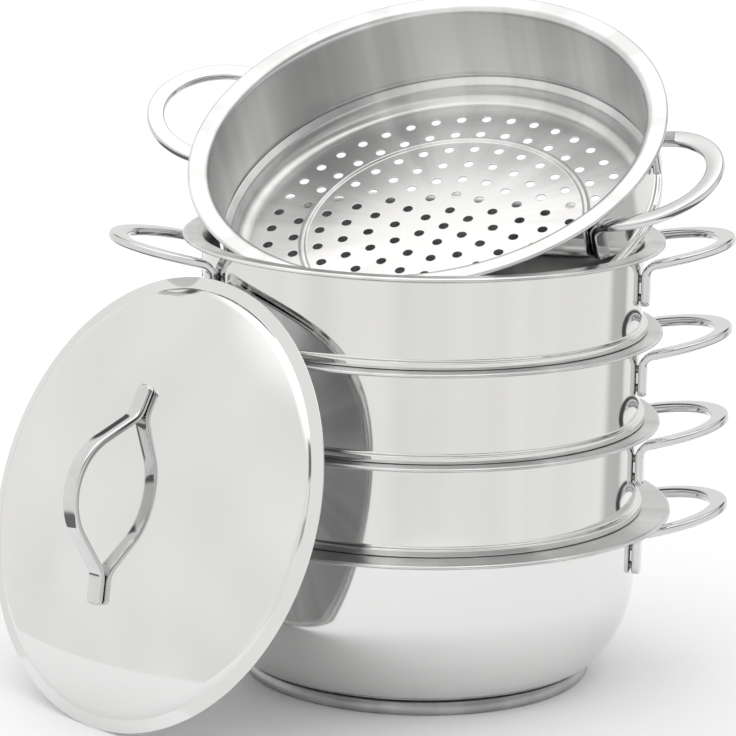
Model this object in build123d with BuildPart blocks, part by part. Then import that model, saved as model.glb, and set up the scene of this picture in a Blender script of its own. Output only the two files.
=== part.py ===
from build123d import *
import os
from math import asin, cos, degrees, radians, sin, sqrt, tan

# A stacked steamer in sheet steel, in millimetres. A pot with a thick base carries three
# perforated tiers, one in the mouth of the other. A fourth tier lies tilted in the mouth of
# the third, and the domed lid leans on the stack with its rim on the table. The origin is the
# middle of the pot's underside, +Z is up, and the stack is seen from -Y.

# Sheet and round walls
sheet = 0.8
wall_radius = 140.0
overrun = 5.0

# Each vessel is one drawn sheet. Its floor is a node of its own, and so is the pot's rounded
# lower wall and the lid's sloping rim, with a hair seam between them.
floor_land = 1.0
seam_gap = 0.1

# Rim of every vessel: the wall bends out to a flat ring that ends in a lip turned down
rim_bend = 4.6
lip_bend = 1.0
lip_depth = 2.4
tier_rim_width = 13.3
pot_rim_width = 22.0

# Seat of a tier: a bead that rests on the rim below, over a narrower foot that sits inside it
seat_depth = 58.0
bead_height = 5.0
bead_reach = 3.6
bead_bend = 1.0
bead_shoulder_bend = 1.2
bead_foot_width = 2.0
bead_foot_bend = 0.6
mouth_clearance = 1.4
foot_bend = 2.0

# Floor of a tier
foot_depth = 16.8
floor_bend = 9.5
floor_ring_inset = 47.5
floor_ring_top = 2.0
floor_ring_rise = 1.4
floor_ring_bend = 1.2
hole_diameter = 6.4
hole_pitch = 16.5
hole_ring_count = 7
holes_per_ring = 6
hole_turn = -19.0

# Pot
pot_height = 111.0
base_height = 9.0
base_inset = 27.5
base_edge_bend = 3.0
pot_bend = 75.0
pot_wall_bottom = 66.0
pot_floor_bend = 20.0
core_gap = 0.4

# Side handles: a strap that runs flat up the wall, bends out under the rim and bows round
strap_width = 11.2
strap_thickness = 5.0
strap_gap = 0.8
strap_foot_depth = 38.5
strap_top_depth = 11.2
strap_slope = 12.0
strap_bend = 10.5
strap_edge = 1.2
strap_foot_corner = 3.6
bow_half_width = 44.2
bow_offset = 6.2
bow_reach = 47.7
pot_bow_extra = 1.5
weld_diameter = 5.0
weld_margin = 5.5
weld_spacing = 12.0

# Lid: a shallow dome, a sloping edge and a folded ring that drops into the mouth
lid_overhang = 2.2
lid_height = 32.0
lid_edge_width = 7.9
lid_crease_height = 3.9
ring_clearance = 1.0
ring_drop = 2.4
ring_edge = 0.7

# Lid handle: a strap bent to an arch over the middle of the dome
arch_width = 11.0
arch_thickness = 4.5
arch_half_length = 68.5
arch_foot_length = 21.2
arch_leg_angle = 50.0
arch_top_bend = 37.2
arch_foot_bend = 10.3
arch_edge = 1.1
arch_foot_corner = 4.0
arch_gap = 0.5
arch_weld_diameter = 6.0

# How the pieces stand
stack_turn = 5.2
tiers_upright = 3
tilted_seat_x = 9.5789
tilted_seat_y = 24.5883
tilted_seat_rise = 12.7345
tilted_tier_tilt = 28.78
tilted_tier_azimuth = -111.29
tilted_tier_turn = -6.3
lid_lean = 69.7
lid_azimuth = -134.33
lid_turn = 92.7
lid_stand_off = 56.8
lid_stand_azimuth = -145.783

# Sizes that follow from these
tier_lip_radius = wall_radius + tier_rim_width
pot_lip_radius = wall_radius + pot_rim_width
tier_depth = seat_depth + foot_depth
floor_ring_radius = wall_radius - floor_ring_inset
base_radius = wall_radius - base_inset
bow_centre = wall_radius + bow_offset
lid_radius = wall_radius + lid_overhang
lid_crease_radius = lid_radius - lid_edge_width

os.makedirs("parts", exist_ok=True)


def standing_plane(centre, tilt, azimuth, turn):
    """Plane tilted towards an azimuth, with its X axis turned from the level line in it."""
    up = Vector(
        sin(radians(tilt)) * cos(radians(azimuth)),
        sin(radians(tilt)) * sin(radians(azimuth)),
        cos(radians(tilt)),
    )
    level = Vector(0, 0, 1).cross(up).normalized()
    along = level * cos(radians(turn)) + up.cross(level) * sin(radians(turn))
    return Plane(origin=centre, x_dir=along, z_dir=up)


def write_copy(shape, place, name):
    """Set a copy of a finished shape at its place and write it as the node of that name."""
    with BuildPart() as piece:
        with Locations(place):
            add(shape.part)
    piece.part.label = name
    export_step(piece.part, f"parts/{name}.step")


def rim_line(lip_radius, top):
    """Underside of a rim: its corners from the lip's edge to the top of the wall, and its bends."""
    points = [
        (lip_radius - sheet, top - lip_depth),
        (lip_radius - sheet, top - sheet),
        (wall_radius, top - sheet),
    ]
    return points, [lip_bend, rim_bend]


# Tier body and floor: one sheet, drawn along its outer face from the lip to the middle of the
# floor. Heights count from the top of the rim.
foot_radius = wall_radius - sheet - mouth_clearance
bead_radius = wall_radius + bead_reach
bead_top = bead_height - seat_depth
bead_foot_radius = bead_radius - bead_foot_width
foot_top = -seat_depth - (bead_foot_radius - foot_radius)
ring_half_top = floor_ring_top / 2
ring_half_foot = ring_half_top + floor_ring_rise
floor_edge = foot_radius - floor_bend - floor_land

tier_rim, rim_bends = rim_line(tier_lip_radius, 0)
tier_points = tier_rim + [
    (wall_radius, bead_top),
    (bead_radius, bead_top),
    (bead_radius, -seat_depth),
    (bead_foot_radius, -seat_depth),
    (foot_radius, foot_top),
    (foot_radius, -tier_depth),
    (floor_edge, -tier_depth),
]
floor_points = [
    (floor_edge - seam_gap, -tier_depth),
    (floor_ring_radius + ring_half_foot, -tier_depth),
    (floor_ring_radius + ring_half_top, floor_ring_rise - tier_depth),
    (floor_ring_radius - ring_half_top, floor_ring_rise - tier_depth),
    (floor_ring_radius - ring_half_foot, -tier_depth),
    (0, -tier_depth),
]
seat_bends = [bead_shoulder_bend, bead_bend, bead_bend, bead_foot_bend, foot_bend, floor_bend]

with BuildPart() as tier_body:
    with BuildSketch(Plane.XZ):
        with BuildLine():
            FilletPolyline(*tier_points, radius=rim_bends + seat_bends)
            offset(amount=sheet, side=Side.RIGHT)
        make_face()
    revolve(axis=Axis.Z)

with BuildPart() as tier_floor:
    with BuildSketch(Plane.XZ):
        with BuildLine():
            FilletPolyline(*floor_points, radius=floor_ring_bend)
            offset(amount=sheet, side=Side.RIGHT)
        make_face()
    revolve(axis=Axis.Z)
    with BuildSketch(Plane.XY.offset(-tier_depth)):
        Circle(hole_diameter / 2)
        for ring in range(1, hole_ring_count + 1):
            with PolarLocations(ring * hole_pitch, ring * holes_per_ring, start_angle=hole_turn):
                Circle(hole_diameter / 2)
    extrude(amount=overrun, mode=Mode.SUBTRACT)

# Pot: the same rim with a wider ring, and a wall that rounds in to a flat floor. The floor's
# bend touches the wall's larger bend from within.
pot_rim, rim_bends = rim_line(pot_lip_radius, pot_height)
knee_height = base_height + pot_floor_bend
knee_angle = degrees(asin((pot_wall_bottom - knee_height) / (pot_bend - pot_floor_bend)))
knee_radius = wall_radius - pot_bend + (pot_bend - pot_floor_bend) * cos(radians(knee_angle))

with BuildPart() as pot_body:
    with BuildSketch(Plane.XZ):
        with BuildLine():
            FilletPolyline(*pot_rim, (wall_radius, pot_wall_bottom + seam_gap), radius=rim_bends)
            offset(amount=sheet, side=Side.RIGHT)
        make_face()
    revolve(axis=Axis.Z)
pot_body.part.label = "pot_body"
export_step(pot_body.part, "parts/pot_body.step")

with BuildPart() as pot_bowl:
    with BuildSketch(Plane.XZ):
        with BuildLine():
            CenterArc((wall_radius - pot_bend, pot_wall_bottom), pot_bend, 0, -knee_angle)
            CenterArc((knee_radius, knee_height), pot_floor_bend, -knee_angle, knee_angle - 90)
            Line((knee_radius, base_height), (knee_radius - floor_land, base_height))
            offset(amount=sheet, side=Side.RIGHT)
        make_face()
    revolve(axis=Axis.Z)
pot_bowl.part.label = "pot_bowl"
export_step(pot_bowl.part, "parts/pot_bowl.step")

with BuildPart() as pot_floor:
    with BuildSketch(Plane.XY.offset(base_height)):
        Circle(knee_radius - floor_land - seam_gap)
    extrude(amount=sheet)
pot_floor.part.label = "pot_floor"
export_step(pot_floor.part, "parts/pot_floor.step")

# Base: a thin cap with rounded edges, filled by a solid aluminium disc
with BuildPart() as pot_base_cap:
    with BuildSketch(Plane.XZ):
        with BuildLine():
            FilletPolyline(
                (base_radius, base_height), (base_radius, 0), (0, 0), radius=base_edge_bend
            )
            offset(amount=sheet, side=Side.RIGHT)
        make_face()
    revolve(axis=Axis.Z)
pot_base_cap.part.label = "pot_base_cap"
export_step(pot_base_cap.part, "parts/pot_base_cap.step")

with BuildPart() as pot_base_core:
    with BuildSketch(Plane.XY.offset(sheet)):
        Circle(base_radius - sheet - core_gap)
    extrude(amount=base_height - sheet)
    fillet(pot_base_core.faces().sort_by(Axis.Z)[0].edges(), radius=base_edge_bend)
pot_base_core.part.label = "pot_base_core"
export_step(pot_base_core.part, "parts/pot_base_core.step")

# Side handle on the +X side of a vessel, in the vessel's own frame with the rim's top at 0.
# The bent strap is turned round the vessel, and its plan is then cut to the bow's shape.
strap_inner = wall_radius + strap_gap


def side_handle(reach):
    """Strap handle whose middle line stands out by this reach past the bow's centre."""
    outer_reach = reach + strap_width / 2
    outer_half = bow_half_width + strap_width / 2
    tip = bow_centre + outer_reach + overrun
    tip_depth = strap_top_depth - (tip - strap_inner) * tan(radians(strap_slope))
    with BuildPart() as handle:
        with BuildSketch(Plane.XZ):
            with BuildLine():
                FilletPolyline(
                    (strap_inner, -strap_foot_depth),
                    (strap_inner, -strap_top_depth),
                    (tip, -tip_depth),
                    radius=strap_bend,
                )
                offset(amount=strap_thickness, side=Side.RIGHT)
            make_face()
        revolve(axis=Axis.Z)
        with BuildSketch(Plane.XY.offset(-strap_foot_depth)):
            with Locations((bow_centre, 0)):
                Ellipse(outer_reach, outer_half)
                Rectangle(bow_centre, 2 * outer_half, align=(Align.MAX, Align.CENTER))
                Ellipse(outer_reach - strap_width, outer_half - strap_width, mode=Mode.SUBTRACT)
                Rectangle(
                    bow_centre,
                    2 * (outer_half - strap_width),
                    align=(Align.MAX, Align.CENTER),
                    mode=Mode.SUBTRACT,
                )
        extrude(amount=strap_foot_depth + strap_bend, mode=Mode.INTERSECT)
        foot_corners = handle.edges().filter_by(Axis.X).group_by(Axis.Z)[0]
        fillet(foot_corners, radius=strap_foot_corner)
        fillet(handle.edges(), radius=strap_edge)
    return handle


# Weld spots between the feet of both handles and the wall
weld_turn = degrees(asin(bow_half_width / strap_inner))
weld_planes = [
    Plane(
        origin=(0, 0, height - strap_foot_depth),
        x_dir=(0, 0, 1),
        z_dir=(cos(radians(side + turn)), sin(radians(side + turn)), 0),
    )
    for height in (weld_margin, weld_margin + weld_spacing)
    for side in (0, 180)
    for turn in (-weld_turn, weld_turn)
]

with BuildPart() as handle_welds:
    with BuildSketch(*weld_planes):
        Circle(weld_diameter / 2)
    extrude(amount=strap_inner + overrun)
    with BuildSketch(Plane.XY.offset(-strap_foot_depth)):
        Circle(strap_inner)
        Circle(wall_radius, mode=Mode.SUBTRACT)
    extrude(amount=strap_foot_depth, mode=Mode.INTERSECT)

# Vessels: the pot and three tiers stand on one axis. The fourth tier leans in the mouth of the
# third: the circle of its seat is placed over that mouth, and its rim stands off it.
tier_handle = side_handle(bow_reach)
pot_handle = side_handle(bow_reach + pot_bow_extra)
pot_place = Location((0, 0, pot_height), (0, 0, stack_turn))
tier_places = [
    Location((0, 0, pot_height + number * seat_depth), (0, 0, stack_turn))
    for number in range(1, tiers_upright + 1)
]
stack_top = pot_height + tiers_upright * seat_depth
tilted_seat = standing_plane(
    (tilted_seat_x, tilted_seat_y, stack_top + tilted_seat_rise),
    tilted_tier_tilt,
    tilted_tier_azimuth,
    tilted_tier_turn,
)
tier_places.append(tilted_seat.offset(seat_depth).location)
half_turn = Location((0, 0, 0), (0, 0, 180))

write_copy(pot_handle, pot_place, "pot_handle_right")
write_copy(pot_handle, pot_place * half_turn, "pot_handle_left")
write_copy(handle_welds, pot_place, "pot_handle_welds")
for number, place in enumerate(tier_places, start=1):
    write_copy(tier_body, place, f"tier_{number}_body")
    write_copy(tier_floor, place, f"tier_{number}_floor")
    write_copy(tier_handle, place, f"tier_{number}_handle_right")
    write_copy(tier_handle, place * half_turn, f"tier_{number}_handle_left")
    write_copy(handle_welds, place, f"tier_{number}_handle_welds")

# Lid in its own frame: the rim's edge lies round height 0 and the dome rises along +Z. The
# sloping rim carries the folded ring.
dome_rise = lid_height - lid_crease_height
dome_radius = (lid_crease_radius**2 + dome_rise**2) / (2 * dome_rise)
edge_fall = (lid_crease_height - sheet) / (lid_radius - lid_crease_radius)
ring_outer = wall_radius - sheet - ring_clearance
ring_inner = ring_outer - 2 * sheet
ring_outer_top = sheet / 2 + (lid_radius - ring_outer) * edge_fall
ring_inner_top = sheet / 2 + (lid_radius - ring_inner) * edge_fall

with BuildPart() as lid_dome:
    with BuildSketch(Plane.XZ):
        with BuildLine():
            TangentArc((0, lid_height), (lid_crease_radius, lid_crease_height), tangent=(1, 0))
            offset(amount=sheet, side=Side.RIGHT)
        make_face()
    revolve(axis=Axis.Z)

with BuildPart() as lid_rim:
    with BuildSketch(Plane.XZ) as rim_section:
        with BuildLine():
            Line(
                (lid_crease_radius + seam_gap, lid_crease_height - seam_gap * edge_fall),
                (lid_radius, sheet),
            )
            offset(amount=sheet, side=Side.RIGHT)
        make_face()
        with BuildLine():
            Polyline(
                (ring_inner, -ring_drop),
                (ring_outer, -ring_drop),
                (ring_outer, ring_outer_top),
                (ring_inner, ring_inner_top),
                close=True,
            )
        make_face()
        fillet(rim_section.vertices().group_by(Axis.Y)[0], radius=ring_edge)
    revolve(axis=Axis.Z)

# Lid handle in the lid's frame, along X. Its feet lie on the dome, and its legs rise to a
# rounded top. The line drawn is the strap's underside.
foot_angle = degrees(asin((arch_half_length - arch_foot_length / 2) / dome_radius))
foot_planes = [
    Plane(
        origin=(
            side * (dome_radius + arch_gap) * sin(radians(foot_angle)),
            0,
            lid_height - dome_radius + (dome_radius + arch_gap) * cos(radians(foot_angle)),
        ),
        x_dir=(cos(radians(foot_angle)), 0, -side * sin(radians(foot_angle))),
        z_dir=(-side * sin(radians(foot_angle)), 0, -cos(radians(foot_angle))),
    )
    for side in (-1, 1)
]
foot_start = foot_planes[1].from_local_coords((-arch_foot_length / 2, 0, 0))
foot_end = foot_planes[1].from_local_coords((arch_foot_length / 2, 0, 0))
arch_corner = foot_start.Z + foot_start.X * tan(radians(arch_leg_angle))

with BuildPart() as arch:
    with BuildSketch(Plane.XZ):
        with BuildLine():
            FilletPolyline(
                (-foot_end.X, foot_end.Z),
                (-foot_start.X, foot_start.Z),
                (0, arch_corner),
                (foot_start.X, foot_start.Z),
                (foot_end.X, foot_end.Z),
                radius=[arch_foot_bend, arch_top_bend, arch_foot_bend],
            )
            offset(amount=arch_thickness, side=Side.LEFT)
        make_face()
    extrude(amount=arch_width / 2, both=True)
    for end in (0, -1):
        end_edges = arch.faces().sort_by(Axis.X)[end].edges()
        fillet(end_edges.sort_by(SortBy.LENGTH)[:2], radius=arch_foot_corner)
    fillet(arch.edges(), radius=arch_edge)

# Weld spots between the arch's feet and the dome, cut to the dome's round
with BuildPart() as arch_welds:
    with BuildSketch(*foot_planes):
        Circle(arch_weld_diameter / 2)
    extrude(amount=arch_gap + sheet)
    with BuildSketch(Plane.XZ):
        with BuildLine():
            dome = TangentArc((0, lid_height), (lid_crease_radius, lid_crease_height), tangent=(1, 0))
            Polyline(dome @ 1, (0, lid_crease_height), (0, lid_height))
        make_face()
    revolve(axis=Axis.Z, mode=Mode.SUBTRACT)

# The lid stands on its rim and leans on the stack
lid_middle_height = lid_radius * sin(radians(lid_lean)) - sheet * cos(radians(lid_lean))
lid_stand = wall_radius + lid_stand_off
lid_middle = (
    lid_stand * cos(radians(lid_stand_azimuth)),
    lid_stand * sin(radians(lid_stand_azimuth)),
    lid_middle_height,
)
lid_place = standing_plane(lid_middle, lid_lean, lid_azimuth, lid_turn).location
write_copy(lid_dome, lid_place, "lid_dome")
write_copy(lid_rim, lid_place, "lid_rim")
write_copy(arch, lid_place, "lid_handle")
write_copy(arch_welds, lid_place, "lid_handle_welds")
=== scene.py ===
import bpy
import bmesh
import numpy as np
from mathutils import Matrix, Vector


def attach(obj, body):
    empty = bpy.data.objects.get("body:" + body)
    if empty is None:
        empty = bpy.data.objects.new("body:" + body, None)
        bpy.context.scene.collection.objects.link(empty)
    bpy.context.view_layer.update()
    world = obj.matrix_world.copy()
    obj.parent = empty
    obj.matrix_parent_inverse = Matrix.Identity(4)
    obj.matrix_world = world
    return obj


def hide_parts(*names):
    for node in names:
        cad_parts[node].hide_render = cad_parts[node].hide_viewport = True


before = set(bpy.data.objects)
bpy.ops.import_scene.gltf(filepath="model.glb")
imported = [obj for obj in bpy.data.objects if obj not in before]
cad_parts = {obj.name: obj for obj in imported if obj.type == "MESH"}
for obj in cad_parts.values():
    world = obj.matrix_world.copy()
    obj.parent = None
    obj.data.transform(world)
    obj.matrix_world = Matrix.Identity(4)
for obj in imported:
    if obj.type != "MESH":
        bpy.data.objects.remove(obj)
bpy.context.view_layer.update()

MM = 0.001

# The camera stands in front of the stack, a little above it, and looks down on it with a long
# lens. It is turned slightly, as the photograph is.
camera_place = Vector((0, -2125.9 * MM, 671.6 * MM))
camera_lens = 166.3
camera_yaw, camera_pitch, camera_roll = np.radians((0.92, 12.61, 1.01))

camera_data = bpy.data.cameras.new("camera")
camera_data.lens = camera_lens
camera = bpy.data.objects.new("camera", camera_data)
bpy.context.scene.collection.objects.link(camera)
ahead = Vector((
    -np.sin(camera_yaw) * np.cos(camera_pitch),
    np.cos(camera_yaw) * np.cos(camera_pitch),
    -np.sin(camera_pitch),
))
level = Vector((np.cos(camera_yaw), np.sin(camera_yaw), 0))
above = level.cross(ahead)
right = level * np.cos(camera_roll) + above * np.sin(camera_roll)
top = above * np.cos(camera_roll) - level * np.sin(camera_roll)
camera.matrix_world = Matrix.Translation(camera_place) @ Matrix((right, top, -ahead)).transposed().to_4x4()
bpy.context.scene.camera = camera

# Perforated tiers: four vessels pressed from one steel sheet, polished outside and finely
# brushed inside, with a bead that seats on the rim below and a floor full of steam holes.
# Three stand on each other and the fourth leans in the top mouth.
sheet = 0.8 * MM
wall_radius = 140.0 * MM
rim_bend = 4.6 * MM
lip_bend = 1.0 * MM
lip_depth = 2.4 * MM
edge_bend = 0.25 * MM
tier_lip_radius = wall_radius + 13.3 * MM
seat_depth = 58.0 * MM
bead_height = 5.0 * MM
bead_radius = wall_radius + 3.6 * MM
bead_bend = 1.0 * MM
bead_shoulder_bend = 1.2 * MM
bead_foot_radius = bead_radius - 2.0 * MM
bead_foot_bend = 0.6 * MM
mouth_clearance = 1.4 * MM
foot_radius = wall_radius - sheet - mouth_clearance
foot_top = seat_depth + bead_foot_radius - foot_radius
foot_bend = 2.0 * MM
tier_depth = seat_depth + 16.8 * MM
floor_bend = 9.5 * MM
hole_radius = 3.2 * MM
hole_pitch = 16.5 * MM
hole_ring_count = 7
hole_ring_growth = 6
rings_inside_raised = 5
holes_margin = 5.1 * MM
hole_edge = 0.25 * MM
hole_edge_points = 3
hole_flat_share = 0.06
hole_turn = np.radians(-19.0)
floor_ring_radius = wall_radius - 47.5 * MM
floor_ring_rise = 1.4 * MM
ring_half_top = 1.0 * MM
ring_half_foot = ring_half_top + floor_ring_rise
ring_margin = 0.55 * MM
floor_ring_bend = 1.0 * MM
pot_height = 111.0 * MM
stack_turn = np.radians(5.2)
tiers_upright = 3
tilted_seat_rise = 12.7345 * MM
tilted_seat = np.array((
    9.5789 * MM, 24.5883 * MM, pot_height + tiers_upright * seat_depth + tilted_seat_rise
))
tilted_angles = np.radians((28.78, -111.29, -6.3))
flat_lead = 0.3 * MM
fine_lead = 0.05 * MM
join_distance = 0.002 * MM
outer_face, inner_face = 0, 1

# The floor is cut into rings of cells, one ring for each ring of holes and one for the raised
# ring. Each border between two rings has a number of points that suits the cells on both sides.
cell_edges = np.concatenate((
    (np.arange(rings_inside_raised) + 0.5) * hole_pitch,
    (floor_ring_radius - ring_half_foot - ring_margin, floor_ring_radius + ring_half_foot + ring_margin),
    ((hole_ring_count - 0.5) * hole_pitch, hole_ring_count * hole_pitch + holes_margin),
))
cell_edge_steps = (36, 72, 144, 144, 240, 360, 360, 504, 336)


def standing(centre, tilt, azimuth, turn):
    """Axes and centre of a piece tilted towards an azimuth. Rows are its X, Y and Z axes: Z is
    the tilted normal, and X is the level line in its plane turned round that normal."""
    normal = np.array((np.sin(tilt) * np.cos(azimuth), np.sin(tilt) * np.sin(azimuth), np.cos(tilt)))
    flat = np.array((-np.sin(azimuth), np.cos(azimuth), 0.0))
    x = flat * np.cos(turn) + np.cross(normal, flat) * np.sin(turn)
    return np.array((x, np.cross(normal, x), normal)), np.asarray(centre)


def upright(height, turn):
    """Axes and centre of a piece on the stack's axis, turned round it."""
    return standing((0, 0, height), 0.0, -np.pi / 2, turn)


def rounded(corners, radii, steps, lead=flat_lead):
    """Points of a bent line: each corner is an arc of its radius, sampled in equal turns, with a
    point just before and just after it, so that the straight stretches shade flat."""
    corners = np.asarray(corners, float)
    points = [corners[:1]]
    for before, corner, after, radius, count in zip(corners, corners[1:], corners[2:], radii, steps):
        u = (before - corner) / np.linalg.norm(before - corner)
        v = (after - corner) / np.linalg.norm(after - corner)
        half = np.arccos(np.clip(u @ v, -1, 1)) / 2
        reach = radius / np.tan(half)
        middle = corner + (u + v) / np.linalg.norm(u + v) * radius / np.sin(half)
        side = (corner + u * reach - middle) / radius
        other = (corner + v * reach - middle) / radius
        sweep = np.pi - 2 * half
        t = np.linspace(0, sweep, count + 1)[:, None]
        square = (other - side * np.cos(sweep)) / np.sin(sweep)
        arc = middle + radius * (side * np.cos(t) + square * np.sin(t))
        points += [(corner + u * (reach + lead))[None], arc, (corner + v * (reach + lead))[None]]
    return np.concatenate(points + [corners[-1:]])


def turned(profile, steps, start=0.0):
    """Surface of revolution: (radius, height) along a profile, carried round +Z in equal steps."""
    angle = start + np.linspace(0, 2 * np.pi, steps + 1)
    radius, height = profile[:, 0], profile[:, 1]
    return np.stack(np.broadcast_arrays(
        radius * np.cos(angle)[:, None], radius * np.sin(angle)[:, None], height
    ), axis=-1)


def quads(rows, columns, count=1):
    """Corners of the cells of one or more grids of points, numbered row by row."""
    index = np.arange(count * rows * columns).reshape(count, rows, columns)
    return np.stack((
        index[:, :-1, :-1], index[:, 1:, :-1], index[:, 1:, 1:], index[:, :-1, 1:]
    ), axis=-1).reshape(-1, 4)


def build(name, place, surfaces):
    """One smooth object from grids of points in the piece's own frame. A surface is its grid and
    its material number. Points that meet are joined, and an attribute keeps the points' places
    in the piece's own frame, so that a pattern follows the piece."""
    axes, centre = place
    points, faces, marks, base = [], [], [], 0
    for grid, mark in surfaces:
        grid = grid.reshape(-1, *grid.shape[-3:])
        count, rows, columns = grid.shape[:3]
        cells = quads(rows, columns, count)
        points.append(grid.reshape(-1, 3))
        faces.append(cells + base)
        marks.append(np.full(len(cells), mark))
        base += count * rows * columns
    local = np.concatenate(points)
    mesh = bpy.data.meshes.new(name)
    mesh.from_pydata(local @ axes + centre, [], np.concatenate(faces))
    mesh.polygons.foreach_set("material_index", np.concatenate(marks).astype(np.int32))
    made = mesh.attributes.new("made", "FLOAT_VECTOR", "POINT")
    made.data.foreach_set("vector", local.astype(np.float32).ravel())
    work = bmesh.new()
    work.from_mesh(mesh)
    bmesh.ops.remove_doubles(work, verts=work.verts, dist=join_distance)
    bmesh.ops.recalc_face_normals(work, faces=work.faces)
    work.to_mesh(mesh)
    work.free()
    mesh.polygons.foreach_set("use_smooth", np.ones(len(mesh.polygons), bool))
    piece = bpy.data.objects.new(name, mesh)
    bpy.context.scene.collection.objects.link(piece)
    return piece


def rim_corners(lip_radius, top):
    """Corners of a rim's sheet: its lower face out under the flange and down inside the lip, then
    its upper face from the lip's lower edge up and back in to the wall."""
    low = lip_radius - sheet, top - lip_depth
    lower = [(wall_radius, top - sheet), (lip_radius - sheet, top - sheet), low]
    upper = [low, (lip_radius, top - lip_depth), (lip_radius, top), (wall_radius - sheet, top)]
    return lower, upper


def hole_levels():
    """The way from a cell's edge over the hole's lip, through the sheet and back out below: the
    share of the way from the hole's rim to the cell's edge, the step out from the hole's wall,
    and the height from the middle of the sheet."""
    turn = np.linspace(0, np.pi / 2, hole_edge_points)
    out, rise = hole_edge * (1 - np.cos(turn)), hole_edge * np.sin(turn) + sheet / 2 - hole_edge
    share = np.concatenate(((1, hole_flat_share), np.zeros(2 * hole_edge_points), (hole_flat_share, 1)))
    step = np.concatenate((np.full(2, hole_edge), out[::-1], out, np.full(2, hole_edge)))
    height = np.concatenate((np.full(2, sheet / 2), rise[::-1], -rise, np.full(2, -sheet / 2)))
    return share, step, height


def hole_cells(ring, inner, outer, inner_steps, outer_steps, side_steps=3):
    """Sheet round the holes of one ring. Each cell is a sector of a ring with a hole in it: a line
    from each point of the sector's edge runs straight to the hole's rim and through the hole."""
    count = hole_ring_growth * ring
    half = np.pi / count
    angle = np.concatenate((
        np.linspace(-half, half, outer_steps + 1),
        np.full(side_steps - 1, half),
        np.linspace(half, -half, inner_steps + 1),
        np.full(side_steps, -half),
    ))
    radius = np.concatenate((
        np.full(outer_steps + 1, outer),
        np.linspace(outer, inner, side_steps + 1)[1:-1],
        np.full(inner_steps + 1, inner),
        np.linspace(inner, outer, side_steps + 1)[1:],
    ))
    middle = ring * hole_pitch
    edge = np.stack((radius * np.cos(angle) - middle, radius * np.sin(angle)), axis=-1)
    away = edge / np.linalg.norm(edge, axis=-1, keepdims=True)
    share, step, height = hole_levels()
    rim = away[:, None] * (hole_radius + step)[:, None]
    flat = rim + (edge[:, None] - rim) * share[:, None]
    turn = hole_turn + np.arange(count) * 2 * np.pi / count
    x, y = flat[..., 0] + middle, flat[..., 1]
    place = turn[:, None, None]
    return np.stack(np.broadcast_arrays(
        x * np.cos(place) - y * np.sin(place), x * np.sin(place) + y * np.cos(place), height
    ), axis=-1)


def tier_surfaces():
    """Grids of a tier in its own frame, with the rim's top at height 0: the wall's outer and inner
    faces, the floor's ring above and below, the centre hole and six times its number in each ring."""
    lower, upper = rim_corners(tier_lip_radius, 0)
    bead_top = bead_height - seat_depth
    outside = rounded(
        [(cell_edges[-1], -tier_depth), (foot_radius, -tier_depth), (foot_radius, -foot_top),
         (bead_foot_radius, -seat_depth), (bead_radius, -seat_depth),
         (bead_radius, bead_top), (wall_radius, bead_top)] + lower,
        (floor_bend, foot_bend, bead_foot_bend, bead_bend, bead_bend, bead_shoulder_bend, rim_bend, lip_bend),
        (8, 3, 3, 4, 4, 4, 7, 4),
    )
    slant = sheet * np.tan(np.pi / 8)
    inside = rounded(
        upper + [(wall_radius - sheet, bead_top - sheet), (bead_radius - sheet, bead_top - sheet),
                 (bead_radius - sheet, sheet - seat_depth), (bead_foot_radius - slant, sheet - seat_depth),
                 (foot_radius - sheet, slant - foot_top), (foot_radius - sheet, sheet - tier_depth),
                 (cell_edges[-1], sheet - tier_depth)],
        (edge_bend, lip_bend + sheet, rim_bend + sheet, bead_shoulder_bend + sheet, bead_bend - sheet,
         bead_bend - sheet, bead_foot_bend + sheet, foot_bend + sheet, floor_bend - sheet),
        (2, 5, 7, 4, 2, 2, 3, 3, 8),
    )
    half_widths = np.array((ring_half_foot, ring_half_top))
    ring = floor_ring_radius + np.concatenate((-half_widths, half_widths[::-1]))
    before, after = cell_edges[rings_inside_raised:rings_inside_raised + 2]
    ring = np.concatenate(((before,), ring, (after,)))
    rise = floor_ring_rise * np.array((0, 0, 1, 1, 0, 0))
    ring = np.stack((ring, rise - tier_depth), axis=-1)
    ring = rounded(ring, np.full(4, floor_ring_bend), np.full(4, 2), lead=fine_lead)
    ring_steps = cell_edge_steps[rings_inside_raised]
    surfaces = [
        (turned(outside, cell_edge_steps[-1], hole_turn), outer_face),
        (turned(inside, cell_edge_steps[-1], hole_turn), inner_face),
        (turned(ring, ring_steps, hole_turn), outer_face),
        (turned(ring + (0, sheet), ring_steps, hole_turn), inner_face),
    ]
    share, step, height = hole_levels()
    middle = sheet / 2 - tier_depth
    centre = hole_radius + step + (cell_edges[0] - hole_radius - step) * share
    centre = np.stack((centre, height + middle), axis=-1)
    surfaces.append((turned(centre, cell_edge_steps[0], hole_turn), inner_face))
    for number in range(1, hole_ring_count + 1):
        edge = number - 1 + (number > rings_inside_raised)
        steps = [count // (hole_ring_growth * number) for count in cell_edge_steps[edge:edge + 2]]
        cells = hole_cells(number, cell_edges[edge], cell_edges[edge + 1], *steps)
        surfaces.append((cells + (0, 0, middle), inner_face))
    return surfaces


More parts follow.
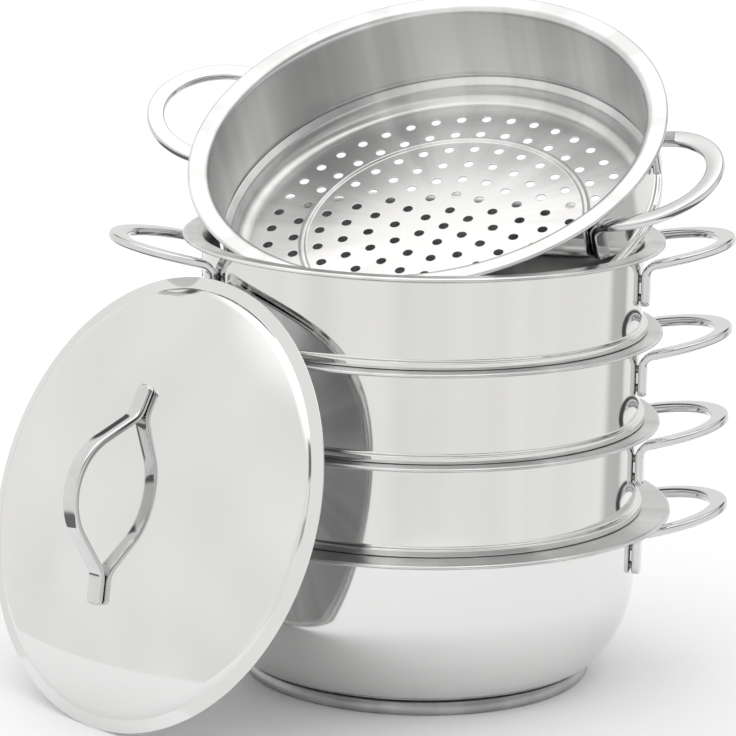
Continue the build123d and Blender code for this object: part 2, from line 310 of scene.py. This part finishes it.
class Socket:
    """A shader socket in arithmetic: an operation adds its Math node and gives its output."""

    def __init__(self, tree, link=None):
        self.tree, self.link = tree, link

    def node(self, kind, settings, inputs, output=0):
        """Any node: its type, its settings, and its inputs by name or number."""
        made = self.tree.nodes.new(kind)
        for name, value in settings.items():
            setattr(made, name, value)
        for name, value in inputs.items():
            if isinstance(value, Socket):
                value.drive(made, name)
            else:
                made.inputs[name].default_value = value
        return Socket(self.tree, made.outputs[output])

    def drive(self, shader, name):
        """Feed an input of a node that is there already."""
        self.tree.links.new(self.link, shader.inputs[name])

    def maths(self, operation, *values):
        return self.node("ShaderNodeMath", {"operation": operation}, dict(enumerate(values)))

    def __add__(self, other):
        return self.maths("ADD", self, other)

    def __sub__(self, other):
        return self.maths("SUBTRACT", self, other)

    def __rsub__(self, other):
        return self.maths("SUBTRACT", other, self)

    def __mul__(self, other):
        return self.maths("MULTIPLY", self, other)

    def __truediv__(self, other):
        return self.maths("DIVIDE", self, other)

    __radd__, __rmul__ = __add__, __mul__

    def split(self):
        """The three parts of a vector."""
        return [self.node("ShaderNodeSeparateXYZ", {}, {0: self}, axis) for axis in "XYZ"]

    def ramp(self, low, high):
        """A smooth step: 0 on one value's side and 1 on the other's."""
        settings = {"interpolation_type": "SMOOTHSTEP"}
        return self.node("ShaderNodeMapRange", settings, {"Value": self, "From Min": low, "From Max": high})

    def band(self, low, high, soft=0.06):
        """1 between two values and 0 outside them, with soft edges."""
        return self.ramp(low, low + soft) * self.ramp(high, high - soft)

    def mix(self, low, high):
        """Colour between two colours by this factor."""
        low, high = (value if isinstance(value, Socket) else (*value, 1) for value in (low, high))
        return self.node("ShaderNodeMix", {"data_type": "RGBA"}, {"Factor": self, 6: low, 7: high}, 2)


mark_height = 0.02 * MM


def metal(name):
    """An empty metal material: its surface shader and a start for its arithmetic."""
    made = bpy.data.materials.new(name)
    made.use_nodes = True
    shader = made.node_tree.nodes["Principled BSDF"]
    shader.inputs["Metallic"].default_value = 1.0
    return made, shader, Socket(made.node_tree)


def polished(name, tint, rough, spread):
    """Mirror-polished steel: faint cloudy smears in the gloss and very fine wiping marks."""
    cloud_scale, mark_scale = 14.0, 900.0
    cloud_shade = 0.965
    mark_strength = 0.02
    made, shader, start = metal(name)
    place = start.node("ShaderNodeTexCoord", {}, {}, "Object")
    clouds = start.node("ShaderNodeTexNoise", {}, {"Vector": place, "Scale": cloud_scale, "Detail": 4.0})
    marks = start.node("ShaderNodeTexNoise", {}, {"Vector": place, "Scale": mark_scale, "Detail": 2.0})
    clouds.mix([cloud_shade * value for value in tint], tint).drive(shader, "Base Color")
    (clouds * spread + marks * (spread / 2) + rough).drive(shader, "Roughness")
    bump = start.node("ShaderNodeBump", {}, {
        "Height": marks, "Strength": mark_strength, "Distance": mark_height,
    })
    bump.drive(shader, "Normal")
    return made


def brushed_with_painted_sheen(name, tint, rough):
    """Satin steel turned on a lathe: fine rings of brushing round the piece's own axis, from a
    noise that is fine across the rings and long along them, and broad soft fans of painted
    sheen: light and dark streaks in the colour, standing in for the sheen that brushed steel
    reflects, that run straight up the walls and fade towards the middle of the floor."""
    ring_scale, ring_length, ring_strength = 1800, 1.5, 0.15
    fan_scale, fan_low, fan_high = 4, 0.35, 0.65
    fan_start, fan_full = 20 * MM, 100 * MM
    broad_scale = 18.0
    ring_share, broad_share, fan_share, plain_share = 0.35, 0.2, 0.7, 0.3
    ring_rough, broad_rough = 0.12, 0.1
    satin_shade = 0.72
    axis_gap = 0.1 * MM
    made, shader, start = metal(name)
    own = start.node("ShaderNodeAttribute", {"attribute_name": "made"}, {}, "Vector")
    x, y, z = own.split()
    radius = start.maths("SQRT", x * x + y * y) + axis_gap
    right, back = x / radius, y / radius
    along = start.node("ShaderNodeCombineXYZ", {}, {
        "X": right * ring_length, "Y": back * ring_length, "Z": z * ring_scale,
    })
    around = start.node("ShaderNodeCombineXYZ", {}, {"X": right * fan_scale, "Y": back * fan_scale})
    painted_sheen_fans = start.node("ShaderNodeTexNoise", {}, {"Vector": around, "Scale": 1.0, "Detail": 3.0})
    rings = start.node("ShaderNodeTexNoise", {"noise_dimensions": "4D"},
                       {"Vector": along, "W": radius * ring_scale, "Scale": 1.0, "Detail": 3.0})
    broad = start.node("ShaderNodeTexNoise", {}, {"Vector": own, "Scale": broad_scale, "Detail": 3.0})
    # Painted sheen: the fans lighten and darken the colour in streaks straight up the walls.
    painted_sheen_fans = (painted_sheen_fans.ramp(fan_low, fan_high) - 0.5) * radius.ramp(fan_start, fan_full)
    shade = rings * ring_share + broad * broad_share + painted_sheen_fans * fan_share + plain_share
    shade.mix([satin_shade * value for value in tint], tint).drive(shader, "Base Color")
    (rings * ring_rough + broad * broad_rough + rough).drive(shader, "Roughness")
    bump = start.node("ShaderNodeBump", {}, {
        "Height": rings, "Strength": ring_strength, "Distance": mark_height,
    })
    bump.drive(shader, "Normal")
    return made


steel_outside = polished("steel_polished", (0.78, 0.78, 0.775), 0.035, 0.05)
steel_inside = brushed_with_painted_sheen("steel_satin", (0.83, 0.83, 0.83), 0.2)

tier_heights = pot_height + np.arange(1, tiers_upright + 1) * seat_depth
tier_places = [upright(height, stack_turn) for height in tier_heights]
tilted_axes, tilted_middle = standing(tilted_seat, *tilted_angles)
tier_places.append((tilted_axes, tilted_middle + tilted_axes[2] * seat_depth))
for number, place in enumerate(tier_places, start=1):
    shell = build(f"tier_{number}_shell", place, tier_surfaces())
    shell.data.materials.append(steel_outside)
    shell.data.materials.append(steel_inside)
    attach(shell, f"tier_{number}")
    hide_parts(f"tier_{number}_body", f"tier_{number}_floor")

# Pot: a deeper vessel from the same sheet, with a wider rim and a rounded lower wall, polished
# outside and brushed inside. Its floor lies on the thick base.
pot_lip_radius = wall_radius + 22.0 * MM
base_height = 9.0 * MM
pot_bend = 75.0 * MM
pot_wall_bottom = 66.0 * MM
pot_floor_bend = 20.0 * MM
round_steps = 360


def pot_wall(inset):
    """Wall of the pot from the rim down to the floor, at a distance inside its outer face."""
    height = base_height + pot_floor_bend
    knee = np.arcsin((pot_wall_bottom - height) / (pot_bend - pot_floor_bend))
    reach = wall_radius - pot_bend + (pot_bend - pot_floor_bend) * np.cos(knee)
    large, small = np.linspace(0, -knee, 25), np.linspace(-knee, -np.pi / 2, 9)[1:]
    return np.concatenate((
        np.stack((wall_radius - pot_bend + (pot_bend - inset) * np.cos(large),
                  pot_wall_bottom + (pot_bend - inset) * np.sin(large)), axis=-1),
        np.stack((reach + (pot_floor_bend - inset) * np.cos(small),
                  height + (pot_floor_bend - inset) * np.sin(small)), axis=-1),
        [(reach - flat_lead, base_height + inset), (0, base_height + inset)],
    ))


lower, upper = rim_corners(pot_lip_radius, pot_height)
rim_outside = rounded([(wall_radius, pot_wall_bottom)] + lower, (rim_bend, lip_bend), (8, 4))
rim_inside = rounded(upper + [(wall_radius - sheet, pot_wall_bottom)],
                     (edge_bend, lip_bend + sheet, rim_bend + sheet), (2, 5, 8))
pot_outside = np.concatenate((pot_wall(0)[:0:-1], rim_outside))
pot_inside = np.concatenate((rim_inside[:-1], pot_wall(sheet)))
pot = build("pot_shell", upright(0, stack_turn),
            [(turned(pot_outside, round_steps), outer_face), (turned(pot_inside, round_steps), inner_face)])
pot.data.materials.append(steel_outside)
pot.data.materials.append(steel_inside)
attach(pot, "pot")
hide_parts("pot_body", "pot_bowl", "pot_floor")

# Base: a pressed steel cap with a rounded lower edge, finely turned, round an aluminium disc
# that is bonded under the pot's floor.
base_radius = wall_radius - 27.5 * MM
base_edge_bend = 3.0 * MM

cap_outside = rounded([(base_radius, base_height), (base_radius, 0), (0, 0)], [base_edge_bend], [8])
cap_inside = rounded([(0, sheet), (base_radius - sheet, sheet), (base_radius - sheet, base_height)],
                     [base_edge_bend - sheet], [8])
cap = build("pot_base_shell", upright(0, stack_turn),
            [(turned(np.concatenate((cap_inside, cap_outside)), round_steps), outer_face)])
# The cap's steel is tinted far darker than the vessels' steel: painted shade, for the grey band under the
# pot. It also gets the painted sheen fans.
cap.data.materials.append(brushed_with_painted_sheen("steel_base", (0.52, 0.525, 0.53), 0.34))
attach(cap, "pot")
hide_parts("pot_base_cap")
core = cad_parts["pot_base_core"]
core.data.materials.clear()
core.data.materials.append(polished("aluminium_core", (0.66, 0.67, 0.68), 0.4, 0.1))

# Side handles: polished straps that run up the wall, bend out under the rim and bow round.
# Each is one strap of steel, spot-welded to the wall at its two flat feet.
strap_width = 11.2 * MM
strap_thickness = 5.0 * MM
strap_gap = 0.8 * MM
strap_foot_depth = 38.5 * MM
strap_top_depth = 11.2 * MM
strap_slope = np.radians(12.0)
strap_bend = 10.5 * MM
strap_edge = 1.5 * MM
strap_corner = 3.6 * MM
bow_half_width = 44.2 * MM
bow_centre = wall_radius + 6.2 * MM
bow_reach = 47.7 * MM
pot_bow_extra = 1.5 * MM
bow_lead = 0.6 * MM
strap_step = 1 * MM


def strap(path, normal, width, thickness, edge, corner):
    """A strap carried along a path: a rounded oblong section, its thickness along the given
    normals, that draws in at both ends for the rounded corners and edges of the foot."""
    along = np.gradient(path, axis=0)
    along /= np.linalg.norm(along, axis=1, keepdims=True)
    normal = normal - along * (normal * along).sum(1, keepdims=True)
    normal /= np.linalg.norm(normal, axis=1, keepdims=True)
    across = np.cross(normal, along)
    length = np.concatenate(((0,), np.cumsum(np.linalg.norm(np.diff(path, axis=0), axis=1))))
    end = np.minimum(length, length[-1] - length)
    drawn_in = corner - np.sqrt(corner**2 - np.clip(corner - end, 0, corner) ** 2)
    thinned = edge - np.sqrt(edge**2 - np.clip(edge - end, 0, edge) ** 2)
    corner_points = 5
    turn = np.linspace(0, np.pi / 2, corner_points)
    round_x, round_y = edge * np.sin(turn), edge * np.cos(turn)
    x = np.concatenate((round_x, round_y, -round_x, -round_y))
    y = np.concatenate((round_y, -round_x, -round_y, round_x))
    far_x = np.repeat((1, 1, -1, -1), corner_points) * (width / 2 - edge)
    far_y = np.repeat((1, -1, -1, 1), corner_points) * (thickness / 2 - edge)
    x, y = np.append(x + far_x, x[0] + far_x[0]), np.append(y + far_y, y[0] + far_y[0])
    wide = 1 - (drawn_in + thinned) / (width / 2)
    thick = 1 - thinned / (thickness / 2)
    wide, thick = (x * wide[:, None])[..., None], (y * thick[:, None])[..., None]
    skin = path[:, None] + across[:, None] * wide + normal[:, None] * thick
    caps = [np.stack((skin[row], np.broadcast_to(path[row], skin[row].shape))) for row in (0, -1)]
    return [(surface, outer_face) for surface in (skin, *caps)]


def end_spacing(length, edge):
    """Places along a strap: crowded at its ends, where it is rounded, and even between."""
    near = edge * (1 - np.cos(np.linspace(0, np.pi / 2, 7)))
    return np.concatenate((near, np.arange(near[-1] + strap_step, length, strap_step)))


def side_handle(reach):
    """Middle line and normals of a side handle on +X, with the rim's top at height 0. Round the
    vessel the strap follows one bent line of radius and height, and in plan a half ellipse."""
    shift = strap_thickness / 2
    middle_foot = wall_radius + strap_gap + shift
    middle_bend = strap_bend - shift
    corner_height = -strap_top_depth + shift * np.tan(strap_slope) - shift / np.cos(strap_slope)
    turn = np.pi / 2 - strap_slope
    reach_up = middle_bend * np.tan(turn / 2)
    bend = np.linspace(0, turn, 15)
    bend_r = middle_foot + middle_bend * (1 - np.cos(bend))
    bend_z = corner_height - reach_up + middle_bend * np.sin(bend)
    foot_z = -strap_foot_depth + end_spacing(bend_z[0] + strap_foot_depth, strap_corner)
    foot_z = foot_z[foot_z < bend_z[0] - flat_lead]
    r = np.concatenate((np.full(len(foot_z), middle_foot), bend_r))
    z = np.concatenate((foot_z, bend_z))
    slope = np.concatenate((np.zeros(len(foot_z)), bend))
    foot = np.stack((np.sqrt(r**2 - bow_half_width**2), np.full(len(r), bow_half_width), z), axis=-1)
    angle = np.linspace(np.pi / 2, 0, 49)
    bow_x, bow_y = bow_centre + reach * np.cos(angle), bow_half_width * np.sin(angle)
    keep = bow_x > foot[-1, 0] + bow_lead
    bow_x, bow_y = bow_x[keep], bow_y[keep]
    bow_r = np.hypot(bow_x, bow_y)
    bow_z = z[-1] + (bow_r - r[-1]) * np.tan(strap_slope)
    half = np.concatenate((foot, np.stack((bow_x, bow_y, bow_z), axis=-1)))
    slope = np.concatenate((slope, np.full(len(bow_x), turn)))
    out = half[:, :2] / np.linalg.norm(half[:, :2], axis=1, keepdims=True)
    normal = np.concatenate((-out * np.cos(slope)[:, None], np.sin(slope)[:, None]), axis=1)
    mirror = np.array((1, -1, 1))
    return np.concatenate((half, half[-2::-1] * mirror)), np.concatenate((normal, normal[-2::-1] * mirror))


# The straps' polished steel is tinted darker than the vessels' polished steel: painted shade, so that the
# straps read darker.
steel_strap = polished("steel_strap", (0.69, 0.69, 0.695), 0.03, 0.04)
vessels = [("pot", upright(pot_height, stack_turn), bow_reach + pot_bow_extra)]
vessels += [(f"tier_{number}", place, bow_reach) for number, place in enumerate(tier_places, start=1)]
for vessel, place, reach in vessels:
    for side, sign in (("right", 1), ("left", -1)):
        path, normal = side_handle(reach)
        flip = np.array((sign, sign, 1))
        surfaces = strap(path * flip, normal * flip, strap_width, strap_thickness, strap_edge, strap_corner)
        handle = build(f"{vessel}_strap_{side}", place, surfaces)
        handle.data.materials.append(steel_strap)
        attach(handle, vessel)
        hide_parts(f"{vessel}_handle_{side}")

# Lid: a shallow dome pressed from one sheet, with a sloping edge and a folded ring underneath
# that drops into a mouth. It leans on the stack with its rim on the table.
lid_radius = wall_radius + 2.2 * MM
lid_height = 32.0 * MM
crease_radius = lid_radius - 7.9 * MM
crease_height = 3.9 * MM
crease_bend = 0.8 * MM
crease_flat = 1.2 * MM
crease_dip = 0.9 * MM
lid_edge_bend = 0.3 * MM
lid_edge_underside = 0.02 * MM
ring_clearance = 1.0 * MM
ring_outer = wall_radius - sheet - ring_clearance
ring_inner = ring_outer - 2 * sheet
ring_drop = 2.4 * MM
ring_root = 0.7 * MM
ring_root_bend = 0.5 * MM
ring_edge = 0.7 * MM
edge_lead = 0.1 * MM
lid_angles = np.radians((69.7, -134.33, 92.7))
lid_stand_off = 56.8 * MM
lid_stand = wall_radius + lid_stand_off
lid_stand_azimuth = np.radians(-145.783)
lid_centre = np.array((
    lid_stand * np.cos(lid_stand_azimuth),
    lid_stand * np.sin(lid_stand_azimuth),
    lid_radius * np.sin(lid_angles[0]) - sheet * np.cos(lid_angles[0]),
))
dome_rise = lid_height - crease_height
dome_radius = (crease_radius**2 + dome_rise**2) / (2 * dome_rise)
edge_fall = (crease_height - sheet) / (lid_radius - crease_radius)


def dome(radius, inset):
    """Height of the dome's face at a radius, at a distance inside its outer face."""
    return lid_height - dome_radius + np.sqrt((dome_radius - inset) ** 2 - radius**2)


def under_edge(radius):
    """Point where the folded ring's side at a radius meets the underside of the sloping edge."""
    return radius, ring_root + (lid_radius - radius) * edge_fall - sheet


dome_radii = np.linspace(0, crease_radius - crease_flat, 40)
top_face = np.stack((dome_radii, dome(dome_radii, 0)), axis=-1)
under_face = np.stack((dome_radii, dome(dome_radii, sheet)), axis=-1)[::-1]
edge_line = rounded(
    [top_face[-1], (crease_radius, crease_height - crease_dip), (lid_radius, sheet),
     (lid_radius - lid_edge_bend, lid_edge_underside), under_edge(ring_outer), (ring_outer, -ring_drop),
     (ring_inner, -ring_drop), under_edge(ring_inner), (crease_radius, crease_height - crease_dip - sheet)],
    (crease_bend, lid_edge_bend, lid_edge_bend, ring_root_bend, ring_edge, ring_edge, ring_root_bend),
    np.full(7, 5), lead=edge_lead,
)
lid = build("lid_shell", standing(lid_centre, *lid_angles),
            [(turned(np.concatenate((top_face[:-1], edge_line)), round_steps), outer_face),
             (turned(np.concatenate((edge_line[-1:], under_face)), round_steps), inner_face)])
lid.data.materials.append(steel_outside)
lid.data.materials.append(steel_inside)
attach(lid, "lid")
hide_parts("lid_dome", "lid_rim")

# Lid handle: one polished strap bent to an arch, with two feet spot-welded along the dome.
arch_width = 11.0 * MM
arch_thickness = 4.5 * MM
arch_half_length = 68.5 * MM
arch_foot_length = 21.2 * MM
arch_leg_angle = np.radians(50.0)
arch_top_bend = 37.2 * MM
arch_foot_bend = 16.0 * MM
arch_edge = 1.3 * MM
arch_corner = 4.0 * MM
arch_gap = 0.5 * MM

foot_angle = np.arcsin((arch_half_length - arch_foot_length / 2) / dome_radius)
foot_way = np.array((np.cos(foot_angle), -np.sin(foot_angle)))
foot_up = np.array((np.sin(foot_angle), np.cos(foot_angle)))
foot_middle = np.array((0, lid_height - dome_radius)) + foot_up * (dome_radius + arch_gap)
foot_end = foot_middle + foot_way * arch_foot_length / 2
foot_start = foot_middle - foot_way * arch_foot_length / 2
arch_peak = foot_start[1] + foot_start[0] * np.tan(arch_leg_angle)
mirror = np.array((-1, 1))
underside = rounded([foot_end * mirror, foot_start * mirror, (0, arch_peak), foot_start, foot_end],
                    (arch_foot_bend, arch_top_bend, arch_foot_bend), (28, 28, 28))
gaps = np.linalg.norm(np.diff(underside, axis=0), axis=1)
run = np.concatenate(((0,), np.cumsum(gaps)))
even = end_spacing(run[-1] / 2, arch_corner)
even = np.concatenate((even, run[-1] - even[::-1]))
line = np.stack([np.interp(even, run, underside[:, axis]) for axis in (0, 1)], axis=-1)
way = np.gradient(line, axis=0)
way /= np.linalg.norm(way, axis=1, keepdims=True)
out = np.stack((-way[:, 1], way[:, 0]), axis=-1)
line = line + out * arch_thickness / 2
path = np.stack((line[:, 0], np.zeros(len(line)), line[:, 1]), axis=-1)
normal = np.stack((out[:, 0], np.zeros(len(line)), out[:, 1]), axis=-1)
arch = build("lid_arch", standing(lid_centre, *lid_angles),
             strap(path, normal, arch_width, arch_thickness, arch_edge, arch_corner))
arch.data.materials.append(steel_strap)
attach(arch, "lid")
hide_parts("lid_handle")

# Weld spots under the straps' feet: small dull grey discs, shown as the model has them.
weld = polished("weld", (0.42, 0.42, 0.42), 0.35, 0.2)
for name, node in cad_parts.items():
    if name.endswith("_welds"):
        node.data.materials.clear()
        node.data.materials.append(weld)

# Studio: a white table with a rounded front, under two wide soft lamps. The camera sees plain
# white behind it, and polished steel mirrors a bright room with a brighter ceiling and dark
# stretches: two at the front, one round the back and right, one low on the right, and far below.
table_middle = 0.04
table_half_width = 0.42
table_front = 0.57
table_back = 6.0
room_colour = (0.95, 0.941, 0.926)
ceiling_extra = 0.6
unevenness = 0.24

front_turn = np.linspace(-np.pi, 0, 49)
table_edge = [
    (table_middle + table_half_width * np.cos(turn), table_front * np.sin(turn), 0) for turn in front_turn
]
table_edge += [(table_middle + side * table_half_width, table_back, 0) for side in (1, -1)]
floor_mesh = bpy.data.meshes.new("floor")
floor_mesh.from_pydata(table_edge, [], [range(len(table_edge))])
floor = bpy.data.objects.new("floor", floor_mesh)
bpy.context.scene.collection.objects.link(floor)
floor_paint = bpy.data.materials.new("floor")
floor_paint.use_nodes = True
floor_shader = floor_paint.node_tree.nodes["Principled BSDF"]
floor_shader.inputs["Base Color"].default_value = (0.94, 0.94, 0.94, 1)
floor_shader.inputs["Roughness"].default_value = 0.9
floor.data.materials.append(floor_paint)

world = bpy.data.worlds.new("studio")
bpy.context.scene.world = world
world.use_nodes = True
start = Socket(world.node_tree)
toward = start.node("ShaderNodeTexCoord", {}, {}, "Generated")
across, depth, height = toward.split()

# Stretches of the mirrored room, by the parts to the right, away and up of the way to them, and
# how dark each is.
front = depth.ramp(-0.38, -0.5) * across.ramp(-0.2, -0.05)
behind = start.maths("MAXIMUM", depth.ramp(0.25, 0.4), across.ramp(0.15, 0.3)) * across.ramp(-0.5, -0.35)
low_right = height.ramp(0.1, 0.0) * depth.ramp(-0.1, 0.1)
dark_stretches = (
    (height.band(0.58, 0.82) * front, 0.8),
    (height.band(0.2, 0.42) * front, 0.5),
    (height.band(0.36, 0.6) * behind, 0.9),
    (height.ramp(-0.3, -0.42), 0.8),
    (across.band(0.7, 0.92) * low_right, 0.4),
)
light = 1
for stretch, darkness in dark_stretches:
    light = light * (1 - stretch * darkness)
ceiling = height.ramp(0.68, 0.84) * ceiling_extra
clouds = start.node("ShaderNodeTexNoise", {}, {"Vector": toward, "Scale": 2.2, "Detail": 1.0})
uneven = (clouds - 0.5) * unevenness
mirrored = start.node("ShaderNodeVectorMath", {"operation": "SCALE"},
                      {0: room_colour, "Scale": light * (1 + ceiling + uneven)})
glossy = start.node("ShaderNodeLightPath", {}, {}, "Is Glossy Ray")
glossy.mix((1, 1, 1), mirrored).drive(world.node_tree.nodes["Background"], "Color")


def softbox(name, place, target, size, power):
    """A square lamp at a place, turned to face a target. Polished steel doesn't mirror it."""
    data = bpy.data.lights.new(name, "AREA")
    data.shape, data.size, data.energy = "SQUARE", size, power
    lamp = bpy.data.objects.new(name, data)
    bpy.context.scene.collection.objects.link(lamp)
    turn = (Vector(place) - Vector(target)).to_track_quat("Z", "Y").to_matrix().to_4x4()
    lamp.matrix_world = Matrix.Translation(place) @ turn
    lamp.visible_glossy = False


softbox("overhead", (0.0, 1.4, 2.6), (0, 1.4, 0), 4.0, 17)
softbox("front", (-1.2, -1.6, 2.2), (0, 0, 0.2), 1.4, 5)

bpy.context.scene.view_settings.view_transform = "Standard"
